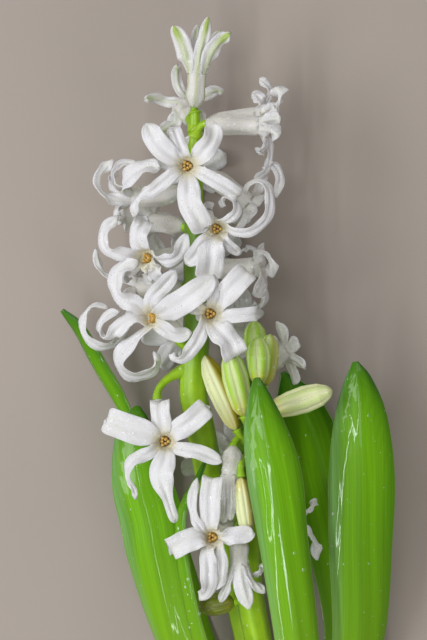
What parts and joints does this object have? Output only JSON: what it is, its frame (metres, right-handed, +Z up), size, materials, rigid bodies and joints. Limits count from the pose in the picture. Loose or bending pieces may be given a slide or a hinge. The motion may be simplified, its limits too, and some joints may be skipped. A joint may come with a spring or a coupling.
{
  "type": "hyacinth flower",
  "caption": "White hyacinth as picked, lying on its back: two stalks with open florets and buds, fleshy strap leaves and the cut top of the bulb.",
  "frame": {"origin": "middle of the plant's footprint, at the height of the surface it lies on", "axes": "+Y along the plant from the cut neck towards the flowers, +Z up, +X to the right seen from above with the flowers away from the viewer"},
  "size_m": [0.1009, 0.2505, 0.0524],
  "materials": {
    "petal": "waxy satin",
    "bud": "waxy satin",
    "stalk": "satin",
    "leaf": "glossy",
    "neck": "satin"
  },
  "bodies": {
    "root": {"stalk_main": "stalk", "stalk_side": "stalk", "leaf_left_narrow": "leaf", "leaf_left_broad": "leaf", "leaf_folded": "leaf", "leaf_front": "leaf", "leaf_behind": "leaf", "leaf_right": "leaf", "floret_top": "petal", "floret_top_back": "petal", "floret_top_right": "petal", "floret_back_right": "petal", "floret_upper_front": "petal", "floret_upper_left": "petal", "floret_mid_right": "petal", "floret_mid_left": "petal", "floret_left": "petal", "floret_lower_front": "petal", "floret_lower_left": "petal", "floret_right": "petal", "floret_low": "petal", "floret_right_back": "petal", "floret_back_high": "petal", "floret_back_left": "petal", "floret_back_mid": "petal", "floret_back_low": "petal", "floret_right_low": "petal", "floret_side_front": "petal", "floret_side_hanging": "petal", "floret_side_low": "petal", "floret_side_right": "petal", "floret_side_back": "petal", "floret_side_behind": "petal", "bud_cream_left": "bud", "bud_green_mid": "bud", "bud_front": "bud", "bud_top": "bud", "bud_top_right": "bud", "bud_right": "bud", "bud_pale_low": "bud", "bud_olive": "bud", "neck": "neck"}
  },
  "joints": []
}
